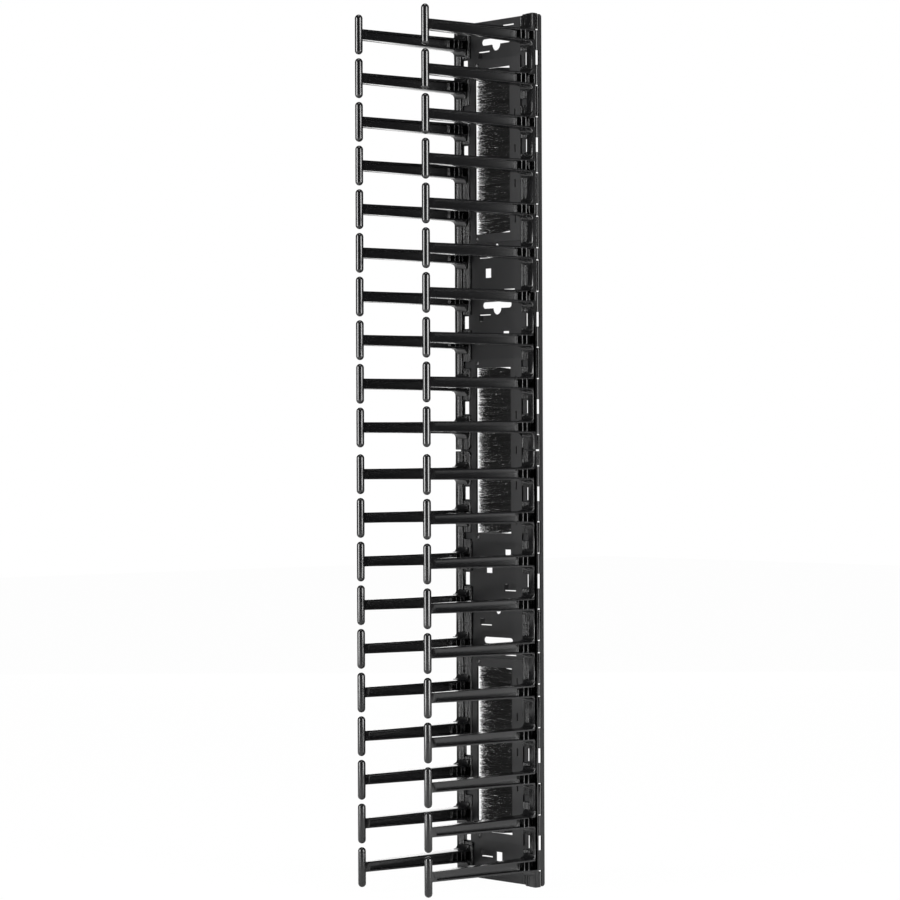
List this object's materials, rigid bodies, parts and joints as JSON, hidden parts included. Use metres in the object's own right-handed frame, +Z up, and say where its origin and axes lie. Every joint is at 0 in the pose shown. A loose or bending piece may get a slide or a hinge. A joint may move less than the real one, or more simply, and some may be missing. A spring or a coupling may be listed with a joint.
{
  "type": "vertical cable manager",
  "caption": "Tall rack cable manager: folded back panel, two rows of T-headed plastic fingers and brush pass-throughs.",
  "frame": {"origin": "middle of the plane on which the panel's folded sides rest against the rack, at half the panel's height", "axes": "+X across the panel to the right seen from the front, +Y into the rack, fingers point along -Y, +Z up the rack"},
  "size_m": [0.12, 0.1537, 0.8906],
  "materials": {
    "panel_steel": "satin black powder coat",
    "comb_plastic": "glossy black moulding",
    "frame_steel": "satin black powder coat",
    "rivet_metal": "black",
    "channel_steel": "zinc plated",
    "wire_steel": "drawn wire",
    "bristle_fibre": "black nylon filament"
  },
  "bodies": {
    "root": {"back_panel": "panel_steel", "comb_upper_left": "comb_plastic", "comb_upper_right": "comb_plastic", "comb_lower_left": "comb_plastic", "comb_lower_right": "comb_plastic", "brush_frame_upper": "frame_steel", "brush_frame_middle": "frame_steel", "brush_frame_lower": "frame_steel", "frame_rivets_upper": "rivet_metal", "frame_rivets_middle": "rivet_metal", "frame_rivets_lower": "rivet_metal", "brush_channel_upper": "channel_steel", "brush_channel_middle": "channel_steel", "brush_channel_lower": "channel_steel", "core_wire_upper": "wire_steel", "core_wire_middle": "wire_steel", "core_wire_lower": "wire_steel", "bristles_upper": "bristle_fibre", "bristles_middle": "bristle_fibre", "bristles_lower": "bristle_fibre"}
  },
  "joints": []
}
